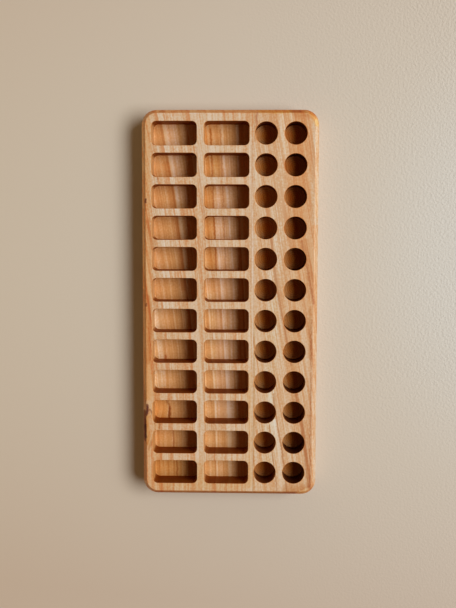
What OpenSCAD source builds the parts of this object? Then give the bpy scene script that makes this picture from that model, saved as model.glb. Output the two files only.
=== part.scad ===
// Desk caddy for hobby sticks and blocks, milled from a solid board glued up from two staves.
// All sizes are in millimetres. The origin is under the middle of the board, on the surface it
// stands on: +X across the board towards the round holes, +Y along the grain, +Z out of the pockets.

/* [Board] */
// Thickness of the board
board_t = 18; // [15:0.5:26]
// Radius of the board's four corners, seen from above
corner_r = 8.4; // [4:0.2:10]
// Width of the chamfer around the top edge
top_chamfer = 2; // [0.5:0.1:3]
// Width of the chamfer around the bottom edge
foot_chamfer = 0.8; // [0.4:0.1:1.5]

/* [Pattern] */
// Number of rows along the board
row_count = 12; // [2:1:16]
// Distance from one row to the next
row_pitch = 17.5; // [16:0.1:22]
// Distance from the first and last row's middle to the board's ends
end_margin = 13; // [11:0.5:20]
// Wood left between the board's left edge and the first slots
left_margin = 5.5; // [3.5:0.1:10]
// Wood left between the last round holes and the board's right edge
right_margin = 6.5; // [3.5:0.1:10]

/* [Slots] */
// Number of slot columns
slot_columns = 2; // [1:1:3]
// Slot size across the board
slot_w = 25.4; // [15:0.1:30]
// Slot size along the board
slot_l = 13.3; // [8:0.1:14]
// Radius of the slot's upright corners, left by the cutter
slot_corner_r = 2.8; // [1.5:0.1:3.8]
// Depth of the slots
slot_depth = 13.5; // [8:0.1:14]
// Wood between two slot columns
slot_web = 4; // [2:0.1:8]

/* [Round holes] */
// Number of round hole columns
hole_columns = 2; // [1:1:3]
// Diameter of the round holes
hole_d = 12.7; // [8:0.1:14]
// Depth of the round holes
hole_depth = 13.5; // [8:0.1:14]
// Width of the eased rim around the round holes
hole_rim = 0.25; // [0.1:0.05:0.5]
// Width of the bevel that the cutter's worn corner leaves around the floor
hole_nose = 0.3; // [0.1:0.05:0.6]
// Extra depth of the first hole, which was bored to set the depth stop
first_hole_extra = 0.05; // [0:0.05:0.3]
// Wood between two round hole columns
hole_web = 3.8; // [2:0.1:8]

/* [Glue joint] */
// Wood between the slots and the glue line
slot_to_glue = 2.6; // [1.5:0.1:5]
// Wood between the glue line and the round holes
glue_to_hole = 0.4; // [0.3:0.1:5]
// Thickness of the cured glue
glue_t = 0.1; // [0.1:0.05:0.3]

/* [Hidden] */
$fn = 96;
// How far a cutter runs out past the top face
run_out = 1;
// Width that a column of slots or holes takes up with its webs between
slots_w = slot_columns * slot_w + (slot_columns - 1) * slot_web;
holes_w = hole_columns * hole_d + (hole_columns - 1) * hole_web;
wide_stave_w = left_margin + slots_w + slot_to_glue;
narrow_stave_w = glue_to_hole + holes_w + right_margin;
board_w = wide_stave_w + glue_t + narrow_stave_w;
board_l = (row_count - 1) * row_pitch + 2 * end_margin;
left_x = -board_w / 2;
glue_x = left_x + wide_stave_w;
first_slot_x = left_x + left_margin + slot_w / 2;
first_hole_x = glue_x + glue_t + glue_to_hole + hole_d / 2;

// Middle of a row, counted from the far end of the board
function row_y(row) = (row_count - 1) * row_pitch / 2 - row * row_pitch;

// Section of a slab of width w, chamfered along its four long edges, standing on the X axis
module slab_section(w) {
    polygon([
        [-w / 2 + foot_chamfer, 0],
        [w / 2 - foot_chamfer, 0],
        [w / 2, foot_chamfer],
        [w / 2, board_t - top_chamfer],
        [w / 2 - top_chamfer, board_t],
        [-w / 2 + top_chamfer, board_t],
        [-w / 2, board_t - top_chamfer],
        [-w / 2, foot_chamfer]
    ]);
}

// Half of that section, from the axis out, for a rounded corner
module corner_section() {
    polygon([
        [0, 0],
        [corner_r - foot_chamfer, 0],
        [corner_r, foot_chamfer],
        [corner_r, board_t - top_chamfer],
        [corner_r - top_chamfer, board_t],
        [0, board_t]
    ]);
}

// The whole board before its pockets are milled
module board_blank() {
    straight_w = board_w - 2 * corner_r;
    straight_l = board_l - 2 * corner_r;
    translate([0, straight_l / 2, 0])
        rotate([90, 0, 0])
            linear_extrude(height = straight_l)
                slab_section(board_w);
    translate([-straight_w / 2, 0, 0])
        rotate([90, 0, 90])
            linear_extrude(height = straight_w)
                slab_section(board_l);
    for (side = [-1, 1])
        for (end = [-1, 1])
            translate([side * straight_w / 2, end * straight_l / 2, 0])
                rotate_extrude()
                    corner_section();
}

// The board's length of wood between two places across it
module stave(from_x, to_x) {
    intersection() {
        board_blank();
        translate([from_x, -board_l / 2 - run_out, -run_out])
            cube([to_x - from_x, board_l + 2 * run_out, board_t + 2 * run_out]);
    }
}

// Outline of a slot, its corners rounded by the cutter
module slot_outline() {
    square([slot_w - 2 * slot_corner_r, slot_l], center = true);
    square([slot_w, slot_l - 2 * slot_corner_r], center = true);
    for (side = [-1, 1])
        for (end = [-1, 1])
            translate([side * (slot_w / 2 - slot_corner_r), end * (slot_l / 2 - slot_corner_r)])
                circle(r = slot_corner_r);
}

// One slot to cut away, standing on its floor
module slot_cutter() {
    linear_extrude(height = slot_depth + run_out)
        slot_outline();
}

// One round hole of a given depth to cut away, standing on its floor
module hole_cutter(depth) {
    r = hole_d / 2;
    rotate_extrude()
        polygon([
            [0, 0],
            [r - hole_nose, 0],
            [r, hole_nose],
            [r, depth - hole_rim],
            [r + hole_rim + run_out, depth + run_out],
            [0, depth + run_out]
        ]);
}

module wide_stave() {
    color("burlywood")
        difference() {
            stave(left_x, glue_x);
            for (column = [0 : slot_columns - 1])
                for (row = [0 : row_count - 1])
                    translate([first_slot_x + column * (slot_w + slot_web), row_y(row), board_t - slot_depth])
                        slot_cutter();
        }
}

module glue_line() {
    color("saddlebrown")
        stave(glue_x, glue_x + glue_t);
}

module narrow_stave() {
    color("tan")
        difference() {
            stave(glue_x + glue_t, left_x + board_w);
            for (column = [0 : hole_columns - 1])
                for (row = [0 : row_count - 1]) {
                    depth = hole_depth + (column + row == 0 ? first_hole_extra : 0);
                    translate([first_hole_x + column * (hole_d + hole_web), row_y(row), board_t - depth])
                        hole_cutter(depth);
                }
        }
}

wide_stave();
glue_line();
narrow_stave();
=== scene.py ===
import math
from collections import namedtuple

import bmesh
import bpy
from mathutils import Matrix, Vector


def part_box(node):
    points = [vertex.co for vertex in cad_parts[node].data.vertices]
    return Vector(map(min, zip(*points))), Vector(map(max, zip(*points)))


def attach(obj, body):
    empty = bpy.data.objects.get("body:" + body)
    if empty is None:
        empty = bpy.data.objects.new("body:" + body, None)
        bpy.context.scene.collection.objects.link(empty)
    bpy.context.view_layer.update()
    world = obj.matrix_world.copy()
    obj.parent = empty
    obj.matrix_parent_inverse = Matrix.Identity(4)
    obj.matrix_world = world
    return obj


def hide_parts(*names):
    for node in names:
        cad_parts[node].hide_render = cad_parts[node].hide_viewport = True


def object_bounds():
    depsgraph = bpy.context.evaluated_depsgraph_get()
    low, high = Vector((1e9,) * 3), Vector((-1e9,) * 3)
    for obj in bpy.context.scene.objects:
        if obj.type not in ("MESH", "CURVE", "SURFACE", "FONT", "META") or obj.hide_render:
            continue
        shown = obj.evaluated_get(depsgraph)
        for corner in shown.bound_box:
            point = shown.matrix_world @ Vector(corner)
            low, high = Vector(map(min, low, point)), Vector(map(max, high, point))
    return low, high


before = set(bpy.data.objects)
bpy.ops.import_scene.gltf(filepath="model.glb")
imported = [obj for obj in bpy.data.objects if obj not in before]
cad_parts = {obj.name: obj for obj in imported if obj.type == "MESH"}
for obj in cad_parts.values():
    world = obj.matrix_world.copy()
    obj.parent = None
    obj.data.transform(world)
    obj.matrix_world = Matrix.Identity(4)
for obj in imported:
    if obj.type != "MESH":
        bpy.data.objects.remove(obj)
cad_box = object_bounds()

# ---- The table top -------------------------------------------------------------------------
# A plain pale table top, painted and dead flat. It carries the caddy and isn't part of it.
# It reaches well past all that the camera sees of it.
MM = 0.001
TABLE_REACH = 4000 * MM
TABLE_SHADED_HEX = "C2AF9B"
TABLE_BRIGHT_HEX = "CCC0AE"
# Painted light: how bright the table's coat is painted under the caddy, how that grows for each metre to the
# right, towards the window, and to the far end, and how fast it falls off again towards both ends
PAINTED_LIGHT_LEVEL = 0.9
PAINTED_LIGHT_RISE = (0.7, 1.4, 0.0)
PAINTED_LIGHT_FALL = (0.0, 4.4, 0.0)
# Painted light: the coat turns cooler towards the window over this far to either side, and a painted
# reflection of the window lies around one place on the right
COOL_REACH = 130 * MM
PAINTED_WINDOW_LIGHT_TINT = (0.95, 1.0, 1.075, 1)
SHINE_PLACE = (150 * MM, 30 * MM, 0.0)
SHINE_FAR = 90 * MM
SHINE_NEAR = 20 * MM
SHINE_SQUEEZE = (1.0, 0.6, 0.0)
PAINTED_REFLECTION_TINT = (1.03, 1.08, 1.15, 1)
# The roller's bumps to the millimetre. They fade to STIPPLE_LEFT over this stretch of the near end
STIPPLE_PER_MM = 0.7
STIPPLE_HEIGHT = 0.5 * MM
STIPPLE_FADE = (-90 * MM, -40 * MM)
STIPPLE_LEFT = 0.4


def to_linear(hex_colour, alpha=1.0):
    """An sRGB hex colour as Blender's linear red, green, blue and alpha."""
    channels = [int(hex_colour[i : i + 2], 16) / 255 for i in (0, 2, 4)]
    linear = [c / 12.92 if c <= 0.04045 else ((c + 0.055) / 1.055) ** 2.4 for c in channels]
    return (*linear, alpha)


def add(tree, kind, inputs=None, **settings):
    """Adds one node. inputs gives each socket, by name or number, its value or the socket it is fed by."""
    node = tree.nodes.new(kind)
    for name, value in settings.items():
        setattr(node, name, value)
    for socket, value in (inputs or {}).items():
        if isinstance(value, bpy.types.NodeSocket):
            tree.links.new(value, node.inputs[socket])
        else:
            node.inputs[socket].default_value = value
    return node


def new_material(name):
    """An empty node material, its tree and its output node."""
    material = bpy.data.materials.new(name)
    material.use_nodes = True
    material.node_tree.nodes.clear()
    return material, material.node_tree, material.node_tree.nodes.new("ShaderNodeOutputMaterial")


def new_object(name, mesh):
    """A mesh, light or camera as an object at the origin, in the scene."""
    made = bpy.data.objects.new(name, mesh)
    bpy.context.scene.collection.objects.link(made)
    return made


# Matt emulsion paint: a flat pale coat with the stipple of a roller. Painted light on it: brighter and a
# shade cooler towards the window, warmer away from it, with a painted reflection of the window on the right.
paint, tree, output = new_material("matt_emulsion_with_painted_light")
place = add(tree, "ShaderNodeTexCoord").outputs["Object"]
# Painted light: the coat is painted brighter towards the window and the far end, and falls off towards both
# ends
rise = add(tree, "ShaderNodeVectorMath", {0: place, 1: PAINTED_LIGHT_RISE}, operation="DOT_PRODUCT")
fall = add(tree, "ShaderNodeVectorMath", {0: place, 1: PAINTED_LIGHT_FALL}, operation="MULTIPLY").outputs[0]
fall_squared = add(tree, "ShaderNodeVectorMath", {0: fall, 1: fall}, operation="DOT_PRODUCT")
fallen = add(tree, "ShaderNodeMath", {0: PAINTED_LIGHT_LEVEL, 1: fall_squared.outputs["Value"]}, operation="SUBTRACT")
painted_light = add(tree, "ShaderNodeMath", {0: fallen.outputs[0], 1: rise.outputs["Value"]}, use_clamp=True)
coat_and_painted_light = add(tree, "ShaderNodeMix", {"Factor": painted_light.outputs[0], 6: to_linear(TABLE_SHADED_HEX),
                                          7: to_linear(TABLE_BRIGHT_HEX)}, data_type="RGBA")
axes = add(tree, "ShaderNodeSeparateXYZ", {0: place})
windowward = add(tree, "ShaderNodeMapRange", {"Value": axes.outputs["X"], "From Min": -COOL_REACH,
                                              "From Max": COOL_REACH}).outputs[0]
# Painted light: the window's cooler light is painted into the coat
coat_and_painted_light = add(tree, "ShaderNodeMix", {"Factor": windowward, 6: coat_and_painted_light.outputs[2], 7: PAINTED_WINDOW_LIGHT_TINT},
                  data_type="RGBA", blend_type="MULTIPLY")
# Painted reflection: the window's glow on the coat, painted around one place on the right
off_shine = add(tree, "ShaderNodeVectorMath", {0: place, 1: SHINE_PLACE}, operation="SUBTRACT")
stretched = add(tree, "ShaderNodeVectorMath", {0: off_shine.outputs[0], 1: SHINE_SQUEEZE},
                operation="MULTIPLY")
away = add(tree, "ShaderNodeVectorMath", {0: stretched.outputs[0]}, operation="LENGTH").outputs["Value"]
painted_reflection = add(tree, "ShaderNodeMapRange", {"Value": away, "From Min": SHINE_FAR, "From Max": SHINE_NEAR},
            interpolation_type="SMOOTHSTEP")
coat_and_painted_light = add(tree, "ShaderNodeMix", {"Factor": painted_reflection.outputs[0], 6: coat_and_painted_light.outputs[2],
                                          7: PAINTED_REFLECTION_TINT}, data_type="RGBA", blend_type="MULTIPLY")
# The stipple shows on the window's side, and less at the near end
stipple = add(tree, "ShaderNodeTexNoise", {"Vector": place, "Scale": STIPPLE_PER_MM / MM, "Detail": 2.0})
raked = add(tree, "ShaderNodeMapRange", {"Value": windowward, "From Min": 0.5, "To Min": 0.05, "To Max": 1.0})
far_end = add(tree, "ShaderNodeMapRange", {"Value": axes.outputs["Y"], "From Min": STIPPLE_FADE[0],
                                           "From Max": STIPPLE_FADE[1], "To Min": STIPPLE_LEFT})
strength = add(tree, "ShaderNodeMath", {0: raked.outputs[0], 1: far_end.outputs[0]}, operation="MULTIPLY")
relief = add(tree, "ShaderNodeBump", {"Height": stipple.outputs["Fac"], "Strength": strength.outputs[0],
                                      "Distance": STIPPLE_HEIGHT})
shader = add(tree, "ShaderNodeBsdfPrincipled", {"Base Color": coat_and_painted_light.outputs[2], "Roughness": 0.9,
                                                "Normal": relief.outputs[0]})
tree.links.new(shader.outputs[0], output.inputs[0])

table_mesh = bpy.data.meshes.new("table_top")
half = TABLE_REACH / 2
table_corners = [(-half, -half, 0), (half, -half, 0), (half, half, 0), (-half, half, 0)]
table_mesh.from_pydata(table_corners, [], [(0, 1, 2, 3)])
table_mesh.materials.append(paint)
table_top = new_object("table_top", table_mesh)

# ---- The light -----------------------------------------------------------------------------
# A large soft window stands on the right, with a dimmer glow off the wall below it, and the
# room gives back a little warm light. The window's height sets how far the shadows reach.
LIGHT_DISTANCE = 2.5
LIGHT_TURN = 6
WINDOW_ELEVATION = 53.3
WINDOW_SPREAD = 14
WINDOW_POWER = 65
GLOW_ELEVATION = 39
GLOW_SPREAD = 15
GLOW_POWER = 6
WINDOW_WIDTH = 2.0
WINDOW_COLOUR = (0.955, 0.985, 1.0)
ROOM_COLOUR = (0.205, 0.132, 0.064)
WALLS_LEVEL = 2.5
CEILING_LEVEL = 0.25
FAR_WALL_GAIN = 0.35


def window(name, elevation, spread, power):
    """A soft oval light on the right at an elevation in degrees, spread that far above and below it."""
    light = bpy.data.lights.new(name, "AREA")
    light.shape = "ELLIPSE"
    light.size = 2 * LIGHT_DISTANCE * math.tan(math.radians(spread))
    light.size_y = WINDOW_WIDTH
    light.energy = power
    light.color = WINDOW_COLOUR
    pane = new_object(name, light)
    up = math.radians(elevation)
    turn = math.radians(LIGHT_TURN)
    level = LIGHT_DISTANCE * math.cos(up)
    pane.location = (level * math.cos(turn), level * math.sin(turn), LIGHT_DISTANCE * math.sin(up))
    pane.rotation_euler = (0, math.pi / 2 - up, turn)


window("window", WINDOW_ELEVATION, WINDOW_SPREAD, WINDOW_POWER)
window("wall_glow", GLOW_ELEVATION, GLOW_SPREAD, GLOW_POWER)

room = bpy.data.worlds.new("room")
bpy.context.scene.world = room
room.use_nodes = True
tree = room.node_tree
towards = add(tree, "ShaderNodeTexCoord").outputs["Generated"]
towards = add(tree, "ShaderNodeSeparateXYZ", {0: towards}).outputs
# The ceiling overhead is dim, and most of the room's light comes from its walls, more from the far one
ceiling = add(tree, "ShaderNodeMapRange", {"Value": towards["Z"], "To Min": WALLS_LEVEL,
                                           "To Max": CEILING_LEVEL})
far_wall = add(tree, "ShaderNodeMapRange", {"Value": towards["Y"], "From Min": -1.0,
                                            "To Min": 1 - FAR_WALL_GAIN, "To Max": 1 + FAR_WALL_GAIN})
strength = add(tree, "ShaderNodeMath", {0: ceiling.outputs[0], 1: far_wall.outputs[0]}, operation="MULTIPLY")
background = tree.nodes["Background"]
background.inputs["Color"].default_value = (*ROOM_COLOUR, 1)
tree.links.new(strength.outputs[0], background.inputs["Strength"])
bpy.context.scene.view_settings.view_transform = "Standard"

# ---- The camera ----------------------------------------------------------------------------
# It looks almost straight down from half a metre up, a little up the board from its middle and
# tipped back by a few degrees. The lens is a short telephoto on a frame 36 mm wide.
CAMERA_PLACE = Vector((11.2, 40.5, 485.3)) * MM
CAMERA_TURN = (-4.844, 1.503, 0.129)
FRAME_WIDTH_PX = 456
FOCAL_PX = 829.4
SENSOR_WIDTH = 36.0
CLIP_START = 10 * MM

lens = bpy.data.cameras.new("camera")
lens.sensor_fit = "HORIZONTAL"
lens.sensor_width = SENSOR_WIDTH
lens.lens = SENSOR_WIDTH * FOCAL_PX / FRAME_WIDTH_PX
lens.clip_start = CLIP_START
camera = new_object("camera", lens)
camera.location = CAMERA_PLACE
camera.rotation_euler = [math.radians(a) for a in CAMERA_TURN]
bpy.context.scene.camera = camera

# ---- The wide stave ------------------------------------------------------------------------
# The wider of the two lengths of cherry that the board is glued up from. Two columns of slots
# are milled into it with a round-nosed cutter, then all arrises are eased and it is oiled.
BOARD_LOW, BOARD_HIGH = cad_box
BOARD_W = BOARD_HIGH[0] - BOARD_LOW[0]
BOARD_L = BOARD_HIGH[1] - BOARD_LOW[1]
BOARD_T = BOARD_HIGH[2] - BOARD_LOW[2]
CORNER_R = 8.4 * MM
CORNER_STEPS = 10
TOP_CHAMFER = 2.0 * MM
FOOT_CHAMFER = 0.8 * MM
EASED_R = 0.7 * MM
EASED_STEPS = 4
# An edge loop runs this far in from the top and foot arrises, so that the faces inside it stay flat
FLAT_FROM = 3.0 * MM
ROWS = 12
ROW_PITCH = 17.5 * MM
SLOT_COLUMNS = 2
SLOT_W = 25.4 * MM
SLOT_L = 13.3 * MM
SLOT_CORNER_R = 2.8 * MM
SLOT_WEB = 4.0 * MM
LEFT_MARGIN = 5.5 * MM
FIRST_SLOT_X = BOARD_LOW[0] + LEFT_MARGIN + SLOT_W / 2
POCKET_DEPTH = 13.5 * MM
FLOOR_Z = BOARD_T - POCKET_DEPTH
POCKET_STEPS = 8
CUTTER_NOSE_R = 0.5 * MM
RIM_R = 0.2 * MM
RIM_STEPS = 3
RUN_OUT = 1.0 * MM
SHARP_ANGLE = 35
SAW_TOLERANCE = 0.0001 * MM
WELD_DISTANCE = 0.0005 * MM

# A grid of like pockets: its columns, the first one's middle, their pitch, and a pocket's outline
Pockets = namedtuple("Pockets", "columns first_x pitch_x width length radius")
SLOTS = Pockets(SLOT_COLUMNS, FIRST_SLOT_X, SLOT_W + SLOT_WEB, SLOT_W, SLOT_L, SLOT_CORNER_R)


def soften(corners, radius, steps):
    """An open line of (inset, height) corners, with an arc of that radius at each inner one."""
    line = [Vector(corners[0])]
    for before, corner, after in zip(corners, corners[1:], corners[2:]):
        before, corner, after = Vector(before), Vector(corner), Vector(after)
        back = (before - corner).normalized()
        ahead = (after - corner).normalized()
        half_angle = back.angle(ahead) / 2
        reach = radius / math.tan(half_angle)
        centre = corner + (back + ahead).normalized() * radius / math.sin(half_angle)
        start = corner + back * reach - centre
        end = corner + ahead * reach - centre
        for step in range(steps + 1):
            line.append(centre + start.slerp(end, step / steps) * radius)
    line.append(Vector(corners[-1]))
    return line


def outline(width, length, radius, steps):
    """Points once round a rectangle with round corners, counterclockwise, centred on the origin."""
    points = []
    for quarter, (side, end) in enumerate([(1, 1), (-1, 1), (-1, -1), (1, -1)]):
        for step in range(steps + 1):
            turn = (quarter + step / steps) * math.pi / 2
            points.append((side * (width / 2 - radius) + radius * math.cos(turn),
                           end * (length / 2 - radius) + radius * math.sin(turn)))
    return points


def turned_block(profile, width, length, radius, steps):
    """A closed block whose section from foot to top is profile, carried round a rounded outline."""
    bm = bmesh.new()
    loops = []
    for inset, height in profile:
        ring = outline(width - 2 * inset, length - 2 * inset, radius - inset, steps)
        loops.append([bm.verts.new((x, y, height)) for x, y in ring])
    count = len(loops[0])
    for low, high in zip(loops, loops[1:]):
        for i in range(count):
            bm.faces.new((low[i], low[(i + 1) % count], high[(i + 1) % count], high[i]))
    bm.faces.new(reversed(loops[0]))
    bm.faces.new(loops[-1])
    bmesh.ops.remove_doubles(bm, verts=bm.verts, dist=WELD_DISTANCE)
    bmesh.ops.recalc_face_normals(bm, faces=bm.faces)
    return bm


def sawn_stave(name, from_x, to_x):
    """The board's blank, with its arrises eased, sawn off at two places across it."""
    section = soften([(FOOT_CHAMFER + FLAT_FROM, 0), (FOOT_CHAMFER, 0), (0, FOOT_CHAMFER),
                      (0, BOARD_T - TOP_CHAMFER), (TOP_CHAMFER, BOARD_T), (TOP_CHAMFER + FLAT_FROM, BOARD_T)],
                     EASED_R, EASED_STEPS)
    bm = turned_block(section, BOARD_W, BOARD_L, CORNER_R, CORNER_STEPS)
    for place, facing in ((from_x, -1), (to_x, 1)):
        cut = bmesh.ops.bisect_plane(bm, geom=bm.verts[:] + bm.edges[:] + bm.faces[:], dist=SAW_TOLERANCE,
                                     plane_co=(place, 0, 0), plane_no=(facing, 0, 0), clear_outer=True)
        rim = [e for e in cut["geom_cut"] if isinstance(e, bmesh.types.BMEdge)]
        if rim:
            bmesh.ops.edgeloop_fill(bm, edges=rim)
    bmesh.ops.recalc_face_normals(bm, faces=bm.faces)
    mesh = bpy.data.meshes.new(name)
    bm.to_mesh(mesh)
    bm.free()
    return new_object(name, mesh)


def cutter_rows_tree():
    """Geometry nodes that stand one cutter at every place of a grid of pockets."""
    tree = bpy.data.node_groups.new("cutter_rows", "GeometryNodeTree")
    for name, kind in (("Cutter", "Object"), ("Columns", "Int"), ("Rows", "Int"), ("Column pitch", "Float"),
                       ("Row pitch", "Float"), ("Middle", "Vector"), ("Material", "Material")):
        tree.interface.new_socket(name, in_out="INPUT", socket_type="NodeSocket" + kind)
    tree.interface.new_socket("Cutters", in_out="OUTPUT", socket_type="NodeSocketGeometry")
    given = add(tree, "NodeGroupInput").outputs
    spans = {}
    for count, pitch in (("Columns", "Column pitch"), ("Rows", "Row pitch")):
        gaps = add(tree, "ShaderNodeMath", {0: given[count], 1: 1.0}, operation="SUBTRACT")
        spans[count] = add(tree, "ShaderNodeMath", {0: gaps.outputs[0], 1: given[pitch]},
                           operation="MULTIPLY").outputs[0]
    grid = add(tree, "GeometryNodeMeshGrid", {"Size X": spans["Columns"], "Size Y": spans["Rows"],
                                              "Vertices X": given["Columns"], "Vertices Y": given["Rows"]})
    placed = add(tree, "GeometryNodeTransform", {"Geometry": grid.outputs["Mesh"],
                                                 "Translation": given["Middle"]})
    cutter = add(tree, "GeometryNodeObjectInfo", {"Object": given["Cutter"]})
    stood = add(tree, "GeometryNodeInstanceOnPoints", {"Points": placed.outputs[0],
                                                       "Instance": cutter.outputs["Geometry"]})
    real = add(tree, "GeometryNodeRealizeInstances", {"Geometry": stood.outputs[0]})
    finished = add(tree, "GeometryNodeSetMaterial", {"Geometry": real.outputs[0],
                                                     "Material": given["Material"]})
    made = add(tree, "NodeGroupOutput")
    tree.links.new(finished.outputs[0], made.inputs[0])
    return tree


CUTTER_ROWS = cutter_rows_tree()


def plain_mesh(piece):
    """Takes what the piece's modifiers make as its own plain mesh, and clears the modifiers."""
    bpy.context.view_layer.update()
    made = bpy.data.meshes.new_from_object(piece.evaluated_get(bpy.context.evaluated_depsgraph_get()))
    piece.modifiers.clear()
    piece.data = made


def mill_pockets(stave, material, pockets):
    """Mills a grid of flat pockets with eased rims into the stave's top."""
    wall = soften([(CUTTER_NOSE_R * 2, FLOOR_Z), (0, FLOOR_Z), (0, BOARD_T - 2 * RIM_R)], CUTTER_NOSE_R,
                  RIM_STEPS)
    lip = soften([(0, BOARD_T - 2 * RIM_R), (0, BOARD_T), (-2 * RIM_R, BOARD_T)], RIM_R, RIM_STEPS)[1:-1]
    bm = turned_block(wall + lip + [Vector((-RIM_R, BOARD_T + RUN_OUT))], pockets.width, pockets.length,
                      pockets.radius, POCKET_STEPS)
    cutter_mesh = bpy.data.meshes.new("cutter")
    bm.to_mesh(cutter_mesh)
    bm.free()
    cutter = new_object("cutter", cutter_mesh)
    cutters = new_object("cutters", bpy.data.meshes.new("cutters"))
    rows = cutters.modifiers.new("rows", "NODES")
    rows.node_group = CUTTER_ROWS
    middle_x = pockets.first_x + (pockets.columns - 1) * pockets.pitch_x / 2
    sizes = {"Cutter": cutter, "Columns": pockets.columns, "Rows": ROWS, "Column pitch": pockets.pitch_x,
             "Row pitch": ROW_PITCH, "Middle": (middle_x, 0, 0), "Material": material}
    for item in CUTTER_ROWS.interface.items_tree:
        if item.in_out == "INPUT":
            rows[item.identifier] = sizes[item.name]
    plain_mesh(cutters)
    milling = stave.modifiers.new("milling", "BOOLEAN")
    milling.operation = "DIFFERENCE"
    milling.solver = "EXACT"
    milling.material_mode = "TRANSFER"
    milling.object = cutters
    plain_mesh(stave)
    for used in (cutter, cutters):
        bpy.data.objects.remove(used)


def finish_arrises(stave):
    """Shades the eased arrises smooth and keeps the flats flat."""
    stave.data.shade_smooth()
    stave.data.set_sharp_from_angle(angle=math.radians(SHARP_ANGLE))
    weigh = stave.modifiers.new("flats", "WEIGHTED_NORMAL")
    weigh.keep_sharp = True
    plain_mesh(stave)


# The wood's figure, all in millimetres. A ring turns from late to early wood within twice RING_STEP,
# and PLAIN_LEVEL is how pale the wood between the rings is
RING_STEP = 0.2
PLAIN_LEVEL = 0.5
# Fibres, hair lines and flecks to the millimetre across the grain. The first two run about sixty
# times as far along it
FIBRES_PER_MM = 0.6
HAIRS_PER_MM = 1.9
FLECKS_PER_MM = 0.9
FIBRE_DRAW = 0.016
CLOUDS_PER_MM = (0.05, 0.018, 0.05)
# How much the fibres, the hair lines, the clouds and the flecks each sway the tone
FIGURE_SHARES = (0.38, 1.8, 0.5, 1.1)
RUBBED_TINT = (1.15, 1.18, 1.22)
# How far a mark's edge wavers, and over what length
WAVER = 1.6
WAVERS_PER_MM = 0.5
RIDGE_PITCH = 1.1
RIDGE_SHARE = 0.35
GRAIN_HEIGHT = 0.06 * MM
WOOD_IOR = 1.47
# Holes in the second column are darker than in the first, and no two holes alike. Painted shade: the
# walls are painted darker, darkest over CORNER_SHADE_REACH above the floor, and the floor is painted deeper
# in colour, as shade, from MIDDLE_SHADE_FAR in to MIDDLE_SHADE_NEAR
HOLE_DARKEN_FIRST = 0.12
HOLE_DARKEN_NEXT = 0.55
HOLE_DARKEN_CHANCE = 0.33
CORNER_SHADE_REACH = 6.0
MIDDLE_SHADE_FAR = 5.2
MIDDLE_SHADE_NEAR = 2.0


def growth_rings(tree, ring, rings):
    """The light and dark of the growth rings: 0 is late wood, 1 early wood."""
    stops = []
    for middle, late, early, lead, fade in rings:
        stops += [(middle - lead, PLAIN_LEVEL), (middle - RING_STEP, late), (middle + RING_STEP, early),
                  (middle + fade, PLAIN_LEVEL)]
    stops.sort()
    low, high = stops[0][0], stops[-1][0]
    place = add(tree, "ShaderNodeMapRange", {"Value": ring, "From Min": low, "From Max": high})
    ramp = add(tree, "ShaderNodeValToRGB", {"Fac": place.outputs[0]})
    elements = ramp.color_ramp.elements
    elements.remove(elements[1])
    for position, level in stops:
        stop = elements[0] if position == low else elements.new((position - low) / (high - low))
        stop.color = (level, level, level, 1)
    return ramp.outputs["Color"]


def outward(tree, mm, pockets):
    """How far a place is from a hole's middle, or from a slot's outline less its corner radius, in mm."""
    home = (pockets.first_x / MM, (ROWS - 1) / 2 * ROW_PITCH / MM, 0)
    moved = add(tree, "ShaderNodeVectorMath", {0: mm, 1: home}, operation="SUBTRACT")
    reach = (pockets.pitch_x / MM / 2, ROW_PITCH / MM / 2, 1000)
    local = add(tree, "ShaderNodeVectorMath", {0: moved.outputs[0], 1: reach, 2: [-r for r in reach]},
                operation="WRAP")
    away = add(tree, "ShaderNodeVectorMath", {0: local.outputs[0]}, operation="ABSOLUTE")
    core = ((pockets.width / 2 - pockets.radius) / MM, (pockets.length / 2 - pockets.radius) / MM, 0)
    over = add(tree, "ShaderNodeVectorMath", {0: away.outputs[0], 1: core}, operation="SUBTRACT")
    over = add(tree, "ShaderNodeVectorMath", {0: over.outputs[0], 1: (1, 1, 0)}, operation="MULTIPLY")
    outside = add(tree, "ShaderNodeVectorMath", {0: over.outputs[0]}, operation="MAXIMUM")
    corner = add(tree, "ShaderNodeVectorMath", {0: outside.outputs[0]}, operation="LENGTH")
    parts = add(tree, "ShaderNodeSeparateXYZ", {0: over.outputs[0]})
    nearest = add(tree, "ShaderNodeMath", {0: parts.outputs["X"], 1: parts.outputs["Y"]}, operation="MAXIMUM")
    inside = add(tree, "ShaderNodeMath", {0: nearest.outputs[0], 1: 0.0}, operation="MINIMUM")
    return add(tree, "ShaderNodeMath", {0: corner.outputs["Value"], 1: inside.outputs[0]}).outputs[0]


def pocket_number(tree, mm, pockets):
    """The column and row that the nearest pocket stands in, as whole numbers in a vector."""
    edge = ((pockets.first_x - pockets.pitch_x / 2) / MM, -ROWS / 2 * ROW_PITCH / MM, 0)
    off = add(tree, "ShaderNodeVectorMath", {0: mm, 1: edge}, operation="SUBTRACT")
    per_mm = (MM / pockets.pitch_x, MM / ROW_PITCH, 0)
    steps = add(tree, "ShaderNodeVectorMath", {0: off.outputs[0], 1: per_mm}, operation="MULTIPLY")
    return add(tree, "ShaderNodeVectorMath", {0: steps.outputs[0]}, operation="FLOOR").outputs[0]


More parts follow.
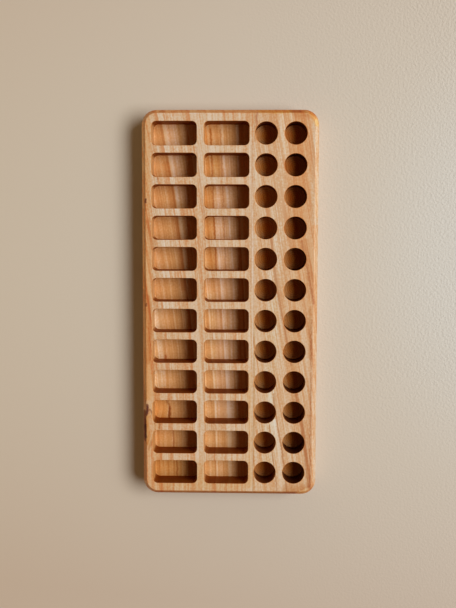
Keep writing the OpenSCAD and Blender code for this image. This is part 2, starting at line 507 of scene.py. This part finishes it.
def beside(tree, mm, points, near, far):
    """1 within near millimetres of the line through the points, falling to 0 at far."""
    nearest = None
    for start, end in zip(points, points[1:]):
        run = Vector(end) - Vector(start)
        off = add(tree, "ShaderNodeVectorMath", {0: mm, 1: start}, operation="SUBTRACT")
        share = add(tree, "ShaderNodeVectorMath", {0: off.outputs[0], 1: run / run.length_squared},
                    operation="DOT_PRODUCT")
        held = add(tree, "ShaderNodeClamp", {0: share.outputs["Value"]})
        foot = add(tree, "ShaderNodeVectorMath", {0: run, "Scale": held.outputs[0]}, operation="SCALE")
        away = add(tree, "ShaderNodeVectorMath", {0: off.outputs[0], 1: foot.outputs[0]},
                   operation="DISTANCE").outputs["Value"]
        if nearest:
            away = add(tree, "ShaderNodeMath", {0: nearest, 1: away}, operation="MINIMUM").outputs[0]
        nearest = away
    return add(tree, "ShaderNodeMapRange", {"Value": nearest, "From Min": far, "From Max": near},
               interpolation_type="SMOOTHSTEP").outputs[0]


def hole_tints_and_painted_shade(tree, mm, split, faces, out, ridge, pockets, tints):
    """The tints of a bored hole, each with where it lies: the cutter's rings, holes darker by column and at
    random, and painted shade on the walls, low in the corners and over the floor's middle.
    """
    number = pocket_number(tree, mm, pockets)
    column = add(tree, "ShaderNodeSeparateXYZ", {0: number}).outputs["X"]
    chance = add(tree, "ShaderNodeTexWhiteNoise", {"Vector": number}).outputs["Value"]
    column_darkening = add(tree, "ShaderNodeMath", {0: column, 1: HOLE_DARKEN_NEXT, 2: HOLE_DARKEN_FIRST},
               operation="MULTIPLY_ADD").outputs[0]
    hole_darkening = add(tree, "ShaderNodeMath", {0: chance, 1: HOLE_DARKEN_CHANCE, 2: column_darkening},
               operation="MULTIPLY_ADD").outputs[0]
    wall = add(tree, "ShaderNodeMapRange", {"Value": faces["Z"], "From Min": 0.8, "From Max": 0.3}).outputs[0]
    wall_painted_shade = add(tree, "ShaderNodeMath", {0: hole_darkening, 1: wall}, operation="MULTIPLY").outputs[0]
    turned = add(tree, "ShaderNodeMapRange", {"Value": ridge, "From Min": 0.2, "From Max": 1.0}).outputs[0]
    middle = add(tree, "ShaderNodeMapRange", {"Value": out, "From Min": MIDDLE_SHADE_FAR,
                                              "From Max": MIDDLE_SHADE_NEAR}).outputs[0]
    # Painted shade: the wall is painted darkest low down, in the corner where it meets the floor
    up_and_in = add(tree, "ShaderNodeMath", {0: split["Z"], 1: out}, operation="SUBTRACT").outputs[0]
    low = (FLOOR_Z - pockets.radius) / MM
    corner = add(tree, "ShaderNodeMapRange", {"Value": up_and_in, "From Min": low + CORNER_SHADE_REACH,
                                              "From Max": low, "To Max": wall},
                 interpolation_type="SMOOTHSTEP").outputs[0]
    places = {"wall": wall, "hole_darkening": hole_darkening, "wall_painted_shade": wall_painted_shade, "ridge": turned, "middle": middle,
              "corner": corner}
    return [(amount, tints[name]) for name, amount in places.items()]


def cherry(name, add_ring, rings, tones, heart_side, heart_tint, end_grain_and_shade_tint, marks=(), bark=(), pockets=None,
           gloss=0.5, grain=1.0, hole_tints_with_shade=None):
    """Oiled cherry right through the solid, its tones given from late to early wood. pockets makes it
    the milled surface, otherwise it is the planed one."""
    material, tree, output = new_material(name)
    coords = add(tree, "ShaderNodeTexCoord")
    mm = add(tree, "ShaderNodeVectorMath", {0: coords.outputs["Object"], "Scale": 1 / MM},
             operation="SCALE").outputs[0]
    split = add(tree, "ShaderNodeSeparateXYZ", {0: mm}).outputs
    normal = add(tree, "ShaderNodeVectorMath", {0: coords.outputs["Normal"]}, operation="ABSOLUTE")
    faces = add(tree, "ShaderNodeSeparateXYZ", {0: normal.outputs[0]}).outputs
    # End grain: the cut ends of the fibres drink more oil, so faces across the grain go darker and redder. In
    # the pockets the end tint is darker still: painted shade on their end walls.
    end_grain = add(tree, "ShaderNodeMapRange", {"Value": faces["Y"], "From Min": 0.25,
                                                 "From Max": 0.7}).outputs[0]
    ring = add_ring(tree, mm, split)
    level = growth_rings(tree, ring, rings)
    # Fibre: streaks a millimetre or two across, and hair lines half a millimetre across
    along = add(tree, "ShaderNodeMath", {0: split["Y"], 1: FIBRE_DRAW}, operation="MULTIPLY")
    drawn_out = add(tree, "ShaderNodeCombineXYZ", {0: ring, 1: along.outputs[0], 2: split["Z"]}).outputs[0]
    soft_fibre = add(tree, "ShaderNodeTexNoise", {"Vector": drawn_out, "Scale": FIBRES_PER_MM, "Detail": 2.0,
                                                  "Roughness": 0.5}).outputs["Fac"]
    fibre = add(tree, "ShaderNodeMapRange", {"Value": soft_fibre, "From Min": 0.42,
                                             "From Max": 0.58}).outputs[0]
    hair = add(tree, "ShaderNodeTexNoise", {"Vector": drawn_out, "Scale": HAIRS_PER_MM, "Detail": 3.0,
                                            "Roughness": 0.6}).outputs["Fac"]
    # Flecks: short pale and dark spots a millimetre or so across, which fade out on end grain
    spots = add(tree, "ShaderNodeTexNoise", {"Vector": mm, "Scale": FLECKS_PER_MM, "Detail": 2.0})
    fleck = add(tree, "ShaderNodeMix", {0: end_grain, 2: spots.outputs["Fac"], 3: 0.5}).outputs[0]
    # Cloudiness: soft patches a few centimetres long where the oil has gone in more or less
    in_clouds = add(tree, "ShaderNodeVectorMath", {0: mm, 1: CLOUDS_PER_MM}, operation="MULTIPLY")
    cloud = add(tree, "ShaderNodeTexNoise", {"Vector": in_clouds.outputs[0], "Scale": 1.0,
                                             "Detail": 2.0}).outputs["Fac"]
    for part, share in zip((fibre, hair, cloud, fleck), FIGURE_SHARES):
        centred = add(tree, "ShaderNodeMath", {0: part, 1: 0.5}, operation="SUBTRACT")
        level = add(tree, "ShaderNodeMath", {0: centred.outputs[0], 1: share * grain, 2: level},
                    operation="MULTIPLY_ADD").outputs[0]
    tone = add(tree, "ShaderNodeValToRGB", {"Fac": level})
    elements = tone.color_ramp.elements
    elements.remove(elements[1])
    for step, hex_colour in enumerate(tones):
        stop = elements.new(step / (len(tones) - 1)) if step else elements[0]
        stop.color = to_linear(hex_colour)
    colour = tone.outputs["Color"]
    # Heart side: more orange towards one edge of the stave
    heart = add(tree, "ShaderNodeMapRange", {"Value": ring, "From Min": heart_side[0],
                                             "From Max": heart_side[1]}, interpolation_type="SMOOTHSTEP")
    # Wear: hands and tools have rubbed the arrises paler and smoother, here more and there less
    off_top = add(tree, "ShaderNodeMapRange", {"Value": faces["Z"], "From Min": 0.995,
                                               "From Max": 0.94}).outputs[0]
    on_arris = add(tree, "ShaderNodeMapRange", {"Value": faces["Z"], "From Min": 0.72, "From Max": 0.78,
                                                "To Max": off_top}).outputs[0]
    rubbed = add(tree, "ShaderNodeMath", {0: on_arris, 1: cloud}, operation="MULTIPLY").outputs[0]
    stains = [(heart.outputs[0], heart_tint), (end_grain, end_grain_and_shade_tint), (rubbed, RUBBED_TINT)]
    # Marks: knots, bark, streaks and patches, all with slightly wavering edges
    waver = add(tree, "ShaderNodeTexNoise", {"Vector": mm, "Scale": WAVERS_PER_MM, "Detail": 3.0})
    strayed = add(tree, "ShaderNodeVectorMath", {0: waver.outputs["Color"], 1: (0.5, 0.5, 0.5)},
                  operation="SUBTRACT")
    spot = add(tree, "ShaderNodeVectorMath", {0: strayed.outputs[0], 1: (WAVER, WAVER, WAVER), 2: mm},
               operation="MULTIPLY_ADD").outputs[0]
    for points, near, far, tint in marks:
        stains.append((beside(tree, spot, points, near, far), tint))
    # The oiled surface is satin, smoother where it is rubbed, and the bark is dry and dull
    rough = add(tree, "ShaderNodeMapRange", {"Value": soft_fibre, "To Min": 0.42, "To Max": 0.58}).outputs[0]
    rough = add(tree, "ShaderNodeMath", {0: rubbed, 1: -0.2, 2: rough}, operation="MULTIPLY_ADD").outputs[0]
    for points, near, far, tint in bark:
        amount = beside(tree, spot, points, near, far)
        stains.append((amount, tint))
        rough = add(tree, "ShaderNodeMapRange", {"Value": amount, "To Min": rough, "To Max": 1.0}).outputs[0]
    height = hair
    if pockets:
        # Cutter marks: fine ridges a millimetre apart that follow the pocket's outline
        out = outward(tree, mm, pockets)
        turn = add(tree, "ShaderNodeMath", {0: out, 1: 2 * math.pi / RIDGE_PITCH}, operation="MULTIPLY")
        ridge = add(tree, "ShaderNodeMath", {0: turn.outputs[0]}, operation="SINE").outputs[0]
        height = add(tree, "ShaderNodeMath", {0: ridge, 1: RIDGE_SHARE, 2: height},
                     operation="MULTIPLY_ADD").outputs[0]
    if hole_tints_with_shade:
        stains += hole_tints_and_painted_shade(tree, mm, split, faces, out, ridge, pockets, hole_tints_with_shade)
    for amount, tint in stains:
        colour = add(tree, "ShaderNodeMix", {"Factor": amount, 6: colour, 7: (*tint, 1)}, data_type="RGBA",
                     blend_type="MULTIPLY").outputs[2]
    relief = add(tree, "ShaderNodeBump", {"Height": height, "Strength": 0.25, "Distance": GRAIN_HEIGHT})
    shader = add(tree, "ShaderNodeBsdfPrincipled", {"Base Color": colour, "Roughness": rough,
                                                    "IOR": WOOD_IOR, "Specular IOR Level": gloss,
                                                    "Normal": relief.outputs[0]})
    tree.links.new(shader.outputs[0], output.inputs[0])
    return material


wide_low, wide_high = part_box("wide_stave")

# The rings fan out from a line off the stave's right edge as they run towards the far end
FAN_X = 18.5
FAN_FROM_Y = -93.75
FAN_GROWTH = 1.4e-5
# They lean over with depth, by LEAN_MIDDLE at the middle of the board's width and more towards the
# glue line. That is the lean LEAN_FULL_Y beyond FAN_FROM_Y, and it shrinks evenly to none there
LEAN_MIDDLE = 0.30
LEAN_PER_MM = 0.0065
LEAN_FULL_Y = 150
# Each ring: its place, how dark its late wood and how pale its early wood, and how far each runs out
WIDE_RINGS = [(-57.0, 0.05, 0.50, 3.5, 1.5), (-50.2, 0.18, 0.52, 4.0, 1.0), (-42.0, 0.36, 0.50, 1.5, 1.0),
              (-37.7, 0.18, 0.82, 3.2, 2.2), (-26.0, 0.15, 0.72, 3.4, 2.4), (-20.0, 0.28, 0.92, 0.9, 2.0),
              (-13.6, 0.38, 0.66, 1.6, 2.6), (-8.9, 0.35, 0.52, 1.2, 1.2)]
WIDE_FLOOR_RINGS = [(-57.5, 0.50, 0.66, 3.0, 3.6), (-51.0, 0.44, 0.62, 1.6, 3.6),
                    (-37.0, 0.02, 0.98, 3.0, 3.6), (-26.7, 0.22, 1.00, 1.4, 2.6),
                    (-19.2, 0.44, 1.02, 2.2, 3.4), (-13.3, 0.34, 0.86, 1.4, 2.2),
                    (-9.4, 0.30, 0.52, 0.9, 0.8), (-6.7, 0.15, 1.00, 1.2, 2.0)]
# Rings stray by up to half this, over some centimetres
RING_STRAY = 1.6
STRAYS_PER_MM = (0.04, 0.02, 0.04)
# The knot of a thin branch comes in from the left edge, dips and ends under the tenth slot. The rings
# are pushed aside by it
KNOT_PITH = [(-49.5, -70.0, 18.0), (-43.0, -61.0, 4.5)]
KNOT_REACH = 13.0
KNOT_PUSH = -5.0


def wander(tree, mm, ring):
    """A ring coordinate that strays a little either way."""
    place = add(tree, "ShaderNodeVectorMath", {0: mm, 1: STRAYS_PER_MM}, operation="MULTIPLY")
    noise = add(tree, "ShaderNodeTexNoise", {"Vector": place.outputs[0], "Scale": 1.0, "Detail": 2.0})
    centred = add(tree, "ShaderNodeMath", {0: noise.outputs["Fac"], 1: 0.5}, operation="SUBTRACT")
    return add(tree, "ShaderNodeMath", {0: centred.outputs[0], 1: RING_STRAY, 2: ring},
               operation="MULTIPLY_ADD").outputs[0]


def wide_ring(tree, mm, split):
    """The wide stave's ring coordinate in millimetres across its near end."""
    up = add(tree, "ShaderNodeMath", {0: split["Y"], 1: FAN_FROM_Y}, operation="SUBTRACT").outputs[0]
    up_squared = add(tree, "ShaderNodeMath", {0: up, 1: up}, operation="MULTIPLY")
    fan = add(tree, "ShaderNodeMath", {0: up_squared.outputs[0], 1: FAN_GROWTH, 2: 1.0},
              operation="MULTIPLY_ADD")
    lean_x = add(tree, "ShaderNodeMath", {0: split["X"], 1: LEAN_PER_MM, 2: LEAN_MIDDLE},
                 operation="MULTIPLY_ADD")
    lean_y = add(tree, "ShaderNodeMath", {0: up, 1: 1 / LEAN_FULL_Y}, operation="MULTIPLY")
    lean = add(tree, "ShaderNodeMath", {0: lean_x.outputs[0], 1: lean_y.outputs[0]}, operation="MULTIPLY")
    depth = add(tree, "ShaderNodeMath", {0: BOARD_T / MM, 1: split["Z"]}, operation="SUBTRACT")
    leant_x = add(tree, "ShaderNodeMath", {0: depth.outputs[0], 1: lean.outputs[0], 2: split["X"]},
                  operation="MULTIPLY_ADD")
    off_x = add(tree, "ShaderNodeMath", {0: leant_x.outputs[0], 1: FAN_X}, operation="SUBTRACT")
    straight = add(tree, "ShaderNodeMath", {0: off_x.outputs[0], 1: fan.outputs[0]}, operation="DIVIDE")
    near_knot = beside(tree, mm, KNOT_PITH, 0.0, KNOT_REACH)
    bent = add(tree, "ShaderNodeMath", {0: near_knot, 1: KNOT_PUSH, 2: straight.outputs[0]},
               operation="MULTIPLY_ADD")
    return wander(tree, mm, bent.outputs[0])


def on_level(height, *marks):
    """Marks whose points are given without their height, which is the same for all."""
    return [([(x, y, height) for x, y in points], near, far, tint) for points, near, far, tint in marks]


# Marks in the wood: the points of a line in millimetres, the distances from it to full strength and to
# the mark's edge, and its tint. Those of the board's top lie at TOP_MM and those of the floors at FLOOR_MM
TOP_MM = BOARD_T / MM
FLOOR_MM = FLOOR_Z / MM
# A seam of dark bark lies along the left chamfer beside the knot, with two specks farther up
BARK_TINT = (0.30, 0.16, 0.14)
BARK = [
    ([(-47.0, -57.5, 17.9), (-46.9, -60.0, 18.0), (-47.5, -63.0, 17.9)], 0.3, 1.2, BARK_TINT),
    ([(-48.7, -61.5, 16.9), (-48.8, -70.0, 16.8), (-48.6, -77.5, 17.0)], 0.7, 1.6, (0.42, 0.26, 0.22)),
    ([(-48.4, -69.5, 17.1), (-48.1, -76.0, 17.4)], 0.5, 1.5, (0.42, 0.34, 0.45)),
    ([(-48.5, -66.0, 17.0), (-47.9, -70.0, 17.5)], 0.2, 0.9, (0.60, 0.50, 0.60)),
    ([(-47.0, -58.5, 17.9), (-47.2, -62.0, 17.9)], 0.1, 0.7, (0.50, 0.40, 0.60)),
    ([(-47.4, 59.4, 17.9), (-47.4, 58.2, 17.9)], 0.3, 1.0, BARK_TINT),
    ([(-47.3, 0.8, 17.8), (-47.3, -0.4, 17.8)], 0.1, 0.9, BARK_TINT),
]
# The knot, as it shows on the top and on the floors of the slots beside it
KNOT_TOP = on_level(
    TOP_MM,
    ([(-47.3, -64.0), (-47.0, -80.0)], 0.4, 2.0, (0.88, 0.72, 0.44)),
    ([(-45.7, -60.3), (-44.3, -62.2), (-43.0, -65.0), (-42.7, -67.5)], 0.2, 0.9, (0.60, 0.42, 0.32)),
    ([(-42.7, -67.5), (-42.7, -74.0)], 0.1, 0.5, (0.85, 0.72, 0.60)),
    ([(-45.4, -65.5), (-45.0, -71.0)], 0.5, 1.5, (1.04, 1.14, 1.35)),
    ([(-43.2, -73.5), (-44.4, -78.5), (-46.4, -83.0)], 0.2, 1.1, (0.82, 0.66, 0.50)),
    ([(-44.1, -81.0), (-44.9, -92.0)], 0.4, 1.5, (1.05, 1.20, 1.45)),
    ([(-40.3, -66.0), (-40.1, -71.0)], 0.1, 0.9, (0.66, 0.45, 0.28)),
)
KNOT_FLOOR = on_level(
    FLOOR_MM,
    ([(-43.5, -57.0), (-43.0, -68.0)], 4.0, 7.4, (1.02, 0.94, 0.78)),
    ([(-38.9, -54.5), (-37.0, -57.3), (-36.0, -60.0), (-35.5, -63.0), (-35.7, -68.0)],
     0.1, 1.3, (0.68, 0.52, 0.40)),
    ([(-35.6, -61.5), (-35.7, -68.0)], 0.2, 1.2, (0.60, 0.42, 0.32)),
    ([(-33.8, -72.0), (-33.2, -86.0)], 0.1, 1.0, (0.80, 0.66, 0.58)),
    ([(-31.7, -89.0), (-31.0, -104.0)], 0.1, 0.8, (0.72, 0.58, 0.50)),
    ([(-37.9, -30.9), (-37.9, -32.2)], 0.2, 1.2, (0.75, 0.50, 0.45)),
)
# Broad patches of paler and of more orange wood, and the lines beside the glue joint
WIDE_PATCHES = on_level(
    TOP_MM,
    ([(-33.5, 106.0), (-33.5, 0.0)], 3.0, 8.0, (1.05, 1.14, 1.28)),
    ([(-34.0, -99.0), (5.0, -99.0)], 5.0, 12.0, (0.96, 0.87, 0.70)),
    ([(-47.5, 109.0), (-47.5, -52.0)], 1.5, 4.5, (1.00, 0.84, 0.62)),
    ([(-40.8, 73.0), (-40.8, 69.0)], 0.1, 0.5, (0.75, 0.60, 0.50)),
    ([(-44.9, 52.5), (-43.6, 46.5)], 0.8, 2.2, (1.03, 1.10, 1.22)),
    ([(-46.4, 47.0), (-44.8, 41.5), (-43.3, 35.0), (-43.8, 30.0)], 0.6, 2.6, (0.91, 0.78, 0.64)),
    ([(-46.6, 5.0), (-45.5, 0.5), (-45.2, -7.5), (-45.8, -23.0), (-46.5, -33.0)],
     0.6, 1.9, (0.86, 0.69, 0.52)),
    ([(-43.7, 0.0), (-43.4, -14.0)], 0.1, 0.8, (1.05, 1.16, 1.30)),
    ([(-18.8, 88.5), (-17.6, 77.0), (-16.0, 65.5), (-14.8, 54.5), (-14.4, 37.0)],
     0.1, 1.0, (0.90, 0.77, 0.68)),
    ([(12.2, 92.0), (12.0, 8.0)], 0.1, 0.8, (0.91, 0.80, 0.72)),
    ([(13.1, 92.0), (13.1, 12.0)], 0.1, 0.6, (1.04, 1.10, 1.22)),
    ([(11.5, 109.0), (11.5, 102.0)], 1.2, 2.6, (0.97, 0.90, 0.80)),
    ([(11.3, -40.0), (11.3, -104.0)], 1.0, 2.6, (0.98, 0.91, 0.78)),
)
FLOOR_PATCHES = on_level(
    FLOOR_MM,
    ([(-43.5, -5.0), (-42.5, -47.0)], 2.5, 5.5, (1.05, 1.28, 1.70)),
    ([(-34.6, 104.0), (-31.0, 79.0), (-28.6, 61.0)], 1.5, 4.0, (1.06, 1.14, 1.42)),
    ([(-36.6, 80.0), (-33.6, 61.0), (-31.2, 44.0), (-28.4, 26.0), (-27.2, 9.0)],
     0.8, 3.2, (0.90, 0.77, 0.67)),
    ([(-8.0, 86.0), (-7.4, 70.0)], 1.0, 2.8, (0.92, 0.84, 0.62)),
    ([(-44.0, -99.0), (-22.0, -99.0)], 5.0, 9.0, (0.88, 0.80, 0.62)),
    ([(-3.0, 82.0), (-3.0, -70.0)], 4.0, 6.5, (1.04, 1.13, 1.42)),
    ([(-13.5, 100.0), (-13.5, 22.0)], 2.0, 6.0, (0.92, 0.83, 0.65)),
    ([(-11.6, 100.0), (-8.2, 18.0)], 0.2, 0.9, (0.72, 0.52, 0.36)),
    ([(-5.9, 100.0), (-2.6, 18.0)], 0.1, 0.7, (0.78, 0.64, 0.52)),
    ([(-12.5, 2.0), (-12.5, -100.0)], 3.0, 7.0, (1.05, 1.17, 1.28)),
)
# The chamfers: a fine line where the left one meets the top, its outer edge paler, and a near one
# darker
WIDE_EDGES = [
    ([(-47.7, 106.0, 17.9), (-47.7, -55.0, 17.9)], 0.1, 0.8, (0.88, 0.72, 0.50)),
    ([(-49.0, 102.0, 16.5), (-49.0, 10.0, 16.5)], 0.5, 1.2, (1.38, 1.30, 1.02)),
    ([(-49.0, 10.0, 16.5), (-49.0, -45.0, 16.5)], 0.5, 1.2, (1.15, 1.08, 0.92)),
    ([(-48.6, -50.0, 17.0), (-48.6, -58.0, 17.0)], 0.8, 1.6, (0.88, 0.80, 0.66)),
    ([(-48.6, -79.0, 17.0), (-48.6, -101.0, 17.0)], 0.9, 1.5, (0.86, 0.64, 0.42)),
    ([(-38.5, 108.3, 17.0), (-37.5, 108.3, 17.0)], 0.6, 2.0, (0.80, 0.60, 0.42)),
    ([(-23.0, 108.3, 17.0), (-18.0, 108.3, 17.0)], 1.0, 2.2, (1.03, 1.18, 1.42)),
    ([(-42.0, -109.0, 16.6), (13.0, -109.0, 16.6)], 0.8, 1.7, (0.64, 0.46, 0.17)),
]

# Planed cherry, sanded and oiled: warm tan with fine straight streaks and a low satin sheen.
wide_planed = cherry("cherry_planed_and_oiled_wide", add_ring=wide_ring, rings=WIDE_RINGS,
                     tones=("C68655", "CB9B6E", "D0AE89", "D2B89B", "D8C2AA"),
                     heart_side=(-50.0, -62.0), heart_tint=(1.0, 0.84, 0.66), end_grain_and_shade_tint=(0.78, 0.49, 0.25),
                     marks=WIDE_PATCHES + WIDE_EDGES + KNOT_TOP, bark=BARK)
# Milled cherry, oiled: the rougher face holds more oil, so the same wood is deeper in colour and duller.
# Its end tint also paints shade on the slots' end walls, darker than end grain alone.
wide_milled = cherry("cherry_milled_and_oiled_wide", add_ring=wide_ring, rings=WIDE_FLOOR_RINGS,
                     tones=("BF7E48", "C88A51", "D1965C", "D8A471", "DFB589"),
                     heart_side=(-50.0, -62.0), heart_tint=(1.0, 0.96, 0.86), end_grain_and_shade_tint=(0.41, 0.195, 0.045),
                     marks=FLOOR_PATCHES + KNOT_FLOOR, gloss=0.04, grain=0.75, pockets=SLOTS)

wide_stave = sawn_stave("wide_stave_timber", wide_low.x, wide_high.x)
wide_stave.data.materials.append(wide_planed)
mill_pockets(wide_stave, wide_milled, SLOTS)
finish_arrises(wide_stave)
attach(wide_stave, "root")
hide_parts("wide_stave")

# ---- The glue line -------------------------------------------------------------------------
# A film of cured wood glue in the edge joint, a tenth of a millimetre thick. It is what holds
# the two staves together, and it shows as a fine darker line along the board.
GLUE_DARK_HEX = "8A5C38"
GLUE_PALE_HEX = "C09468"
BEADS_PER_MM = 0.4
BEAD_HEIGHT = 0.05 * MM

# Cured wood glue: an amber film that has dried a little unevenly, with the gloss of plastic.
glue, tree, output = new_material("wood_glue_cured")
place = add(tree, "ShaderNodeTexCoord").outputs["Object"]
beads = add(tree, "ShaderNodeTexNoise", {"Vector": place, "Scale": BEADS_PER_MM / MM,
                                         "Detail": 2.0}).outputs["Fac"]
glue_colour = add(tree, "ShaderNodeMix", {"Factor": beads, 6: to_linear(GLUE_DARK_HEX),
                                          7: to_linear(GLUE_PALE_HEX)}, data_type="RGBA")
glue_rough = add(tree, "ShaderNodeMapRange", {"Value": beads, "To Min": 0.35, "To Max": 0.6})
relief = add(tree, "ShaderNodeBump", {"Height": beads, "Strength": 0.2, "Distance": BEAD_HEIGHT})
shader = add(tree, "ShaderNodeBsdfPrincipled", {"Base Color": glue_colour.outputs[2],
                                                "Roughness": glue_rough.outputs[0],
                                                "Normal": relief.outputs[0]})
tree.links.new(shader.outputs[0], output.inputs[0])
glue_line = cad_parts["glue_line"]
glue_line.material_slots[0].material = glue

# ---- The narrow stave ----------------------------------------------------------------------
# The narrower length of cherry, from another plank: its rings run straight and slant across it.
# Two columns of round holes are bored into it with a flat-bottomed bit.
HOLE_COLUMNS = 2
HOLE_D = 12.7 * MM
HOLE_WEB = 3.8 * MM
GLUE_TO_HOLE = 0.4 * MM
narrow_low, narrow_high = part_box("narrow_stave")
FIRST_HOLE_X = narrow_low.x + GLUE_TO_HOLE + HOLE_D / 2
HOLES = Pockets(HOLE_COLUMNS, FIRST_HOLE_X, HOLE_D + HOLE_WEB, HOLE_D, HOLE_D, HOLE_D / 2)

# Its rings run to the right towards the near end, and lean over with depth
NARROW_SLANT = (-1.0, -0.165, 0.25)
NARROW_RINGS = [(-42.6, 0.06, 0.70, 3.6, 1.6), (-37.0, 0.36, 0.36, 2.2, 2.4), (-24.4, 0.06, 0.58, 5.0, 1.5),
                (-16.0, 0.43, 0.45, 1.5, 1.5), (-11.4, 0.28, 0.92, 1.5, 3.2), (-5.4, 0.18, 0.60, 1.5, 2.2),
                (1.5, 0.38, 0.38, 1.8, 4.0)]


def narrow_ring(tree, mm, split):
    """The narrow stave's ring coordinate, in millimetres across it at its middle."""
    slant = add(tree, "ShaderNodeVectorMath", {0: mm, 1: NARROW_SLANT}, operation="DOT_PRODUCT")
    return wander(tree, mm, slant.outputs["Value"])


DARK_STREAK = (0.78, 0.58, 0.42)
PALE_STREAK = (1.05, 1.15, 1.30)
# Broad patches: a paler band up the middle, more orange beside it and at both ends
NARROW_PATCHES = on_level(
    TOP_MM,
    ([(31.0, 106.0), (24.5, 10.0)], 1.5, 5.5, (1.05, 1.24, 1.52)),
    ([(24.5, 10.0), (22.5, -95.0)], 1.5, 4.5, (1.02, 1.17, 1.33)),
    ([(39.5, 106.0), (36.5, -45.0)], 1.5, 4.5, (0.98, 0.88, 0.74)),
    ([(38.0, 108.0), (46.0, 108.0)], 2.0, 5.0, (0.88, 0.74, 0.58)),
    ([(34.0, -108.0), (47.0, -108.0)], 2.0, 7.0, (0.84, 0.66, 0.48)),
    ([(46.5, -25.0), (46.5, -109.0)], 1.5, 3.0, (0.97, 0.90, 0.84)),
)
# The chamfers, and the streak along the right one
NARROW_EDGES = [
    ([(48.4, 101.0, 17.2), (47.8, 48.0, 17.2)], 2.0, 3.4, (0.99, 1.17, 1.45)),
    ([(49.0, 48.0, 16.8), (49.0, -101.0, 16.8)], 1.2, 2.0, (0.92, 0.99, 1.10)),
    ([(17.0, 108.3, 17.0), (33.0, 108.3, 17.0)], 1.2, 2.0, (0.97, 0.93, 0.56)),
    ([(34.0, 108.3, 17.0), (38.5, 108.3, 17.0)], 1.0, 1.8, (0.80, 0.74, 0.56)),
    ([(41.5, 107.8, 17.0), (43.0, 107.4, 17.0)], 0.6, 1.8, (1.04, 1.42, 1.80)),
    ([(45.0, 106.4, 17.0), (48.2, 101.5, 17.0)], 0.8, 2.2, (1.10, 1.02, 0.60)),
    ([(40.5, -108.1, 17.0), (44.5, -106.6, 17.0)], 0.8, 2.0, (1.25, 1.65, 2.00)),
    ([(13.4, -109.0, 16.6), (37.0, -109.0, 16.6)], 0.8, 1.7, (0.64, 0.46, 0.17)),
    ([(46.2, -8.0, 17.9), (46.2, -107.0, 17.9)], 0.1, 0.6, DARK_STREAK),
]
# Fine streaks along the rings, dark and pale, and those that run beside the glue line
STREAKS = on_level(
    TOP_MM,
    ([(28.4, 105.8), (31.9, 83.9)], 0.1, 0.7, PALE_STREAK),
    ([(22.7, -69.0), (24.7, -86.0), (27.5, -107.0)], 0.1, 0.7, DARK_STREAK),
    ([(25.2, -50.5), (27.4, -69.5), (30.0, -82.0), (33.0, -107.0)], 0.2, 0.8, DARK_STREAK),
    ([(38.0, -51.0), (41.8, -70.0), (44.1, -89.0), (45.7, -104.0)], 0.4, 1.6, DARK_STREAK),
    ([(26.0, -66.0), (28.2, -82.0), (30.0, -107.0)], 0.4, 1.5, PALE_STREAK),
    ([(23.4, 37.0), (25.5, 17.5), (28.1, 1.0), (32.5, -19.5), (35.2, -34.0)], 0.2, 1.1, (0.84, 0.70, 0.58)),
    ([(40.2, 36.5), (43.4, 21.5), (45.2, 12.0), (47.5, 1.5)], 0.2, 1.2, DARK_STREAK),
    ([(42.8, 36.0), (46.6, 16.0)], 0.8, 2.8, (0.93, 0.84, 0.72)),
    ([(45.3, -2.5), (45.9, -30.0)], 0.3, 1.5, (0.86, 0.74, 0.58)),
    ([(14.8, 108.0), (14.6, 96.0)], 0.1, 0.8, (0.76, 0.56, 0.50)),
    ([(14.1, -10.0), (13.8, -107.0)], 0.1, 0.9, (0.88, 0.78, 0.62)),
    ([(15.2, -10.0), (15.0, -107.0)], 0.2, 0.9, (1.03, 1.08, 1.15)),
    ([(14.3, 92.0), (14.3, 10.0)], 0.2, 1.0, (1.03, 1.08, 1.16)),
)
# The holes' floors are darker towards the near end
HOLES_NEAR_END = on_level(FLOOR_MM, ([(20.0, -115.0), (37.0, -115.0)], 30.0, 150.0, (0.88, 0.84, 0.76)))
# Tints of the holes: painted shade on the walls, in the low corners and over the floors' middles, holes
# darker by column and at random, and the cutter's rings
HOLE_TINTS_AND_SHADE = {"wall": (0.88, 0.84, 0.80), "hole_darkening": (0.90, 0.78, 0.66), "wall_painted_shade": (0.40, 0.37, 0.42),
          "ridge": (0.82, 0.76, 0.70), "middle": (0.90, 0.66, 0.30), "corner": (0.58, 0.50, 0.46)}
narrow_figure = {"add_ring": narrow_ring, "rings": NARROW_RINGS, "heart_side": (-33.0, -43.0),
                 "heart_tint": (1.0, 0.87, 0.72)}

# Planed cherry from another plank, sanded and oiled: the same tan with its streaks aslant.
narrow_planed = cherry("cherry_planed_and_oiled_narrow", **narrow_figure, end_grain_and_shade_tint=(0.80, 0.50, 0.25),
                       tones=("C48E5F", "CA9B6C", "CEA981", "D0AF8E", "D4BC9E"),
                       marks=NARROW_PATCHES + NARROW_EDGES + STREAKS, grain=1.3)
# Bored cherry, oiled. Its walls, low corners and the middles of its floors are painted dark brown as shade.
narrow_milled = cherry("cherry_bored_oiled_painted_shade_narrow", **narrow_figure, end_grain_and_shade_tint=(0.31, 0.18, 0.14),
                       tones=("DE9452", "E39F5D", "E7A86A", "EBB377", "EEBC86"),
                       marks=HOLES_NEAR_END, gloss=0.04, grain=0.9, hole_tints_with_shade=HOLE_TINTS_AND_SHADE, pockets=HOLES)

narrow_stave = sawn_stave("narrow_stave_timber", narrow_low.x, narrow_high.x)
narrow_stave.data.materials.append(narrow_planed)
mill_pockets(narrow_stave, narrow_milled, HOLES)
finish_arrises(narrow_stave)
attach(narrow_stave, "root")
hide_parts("narrow_stave")
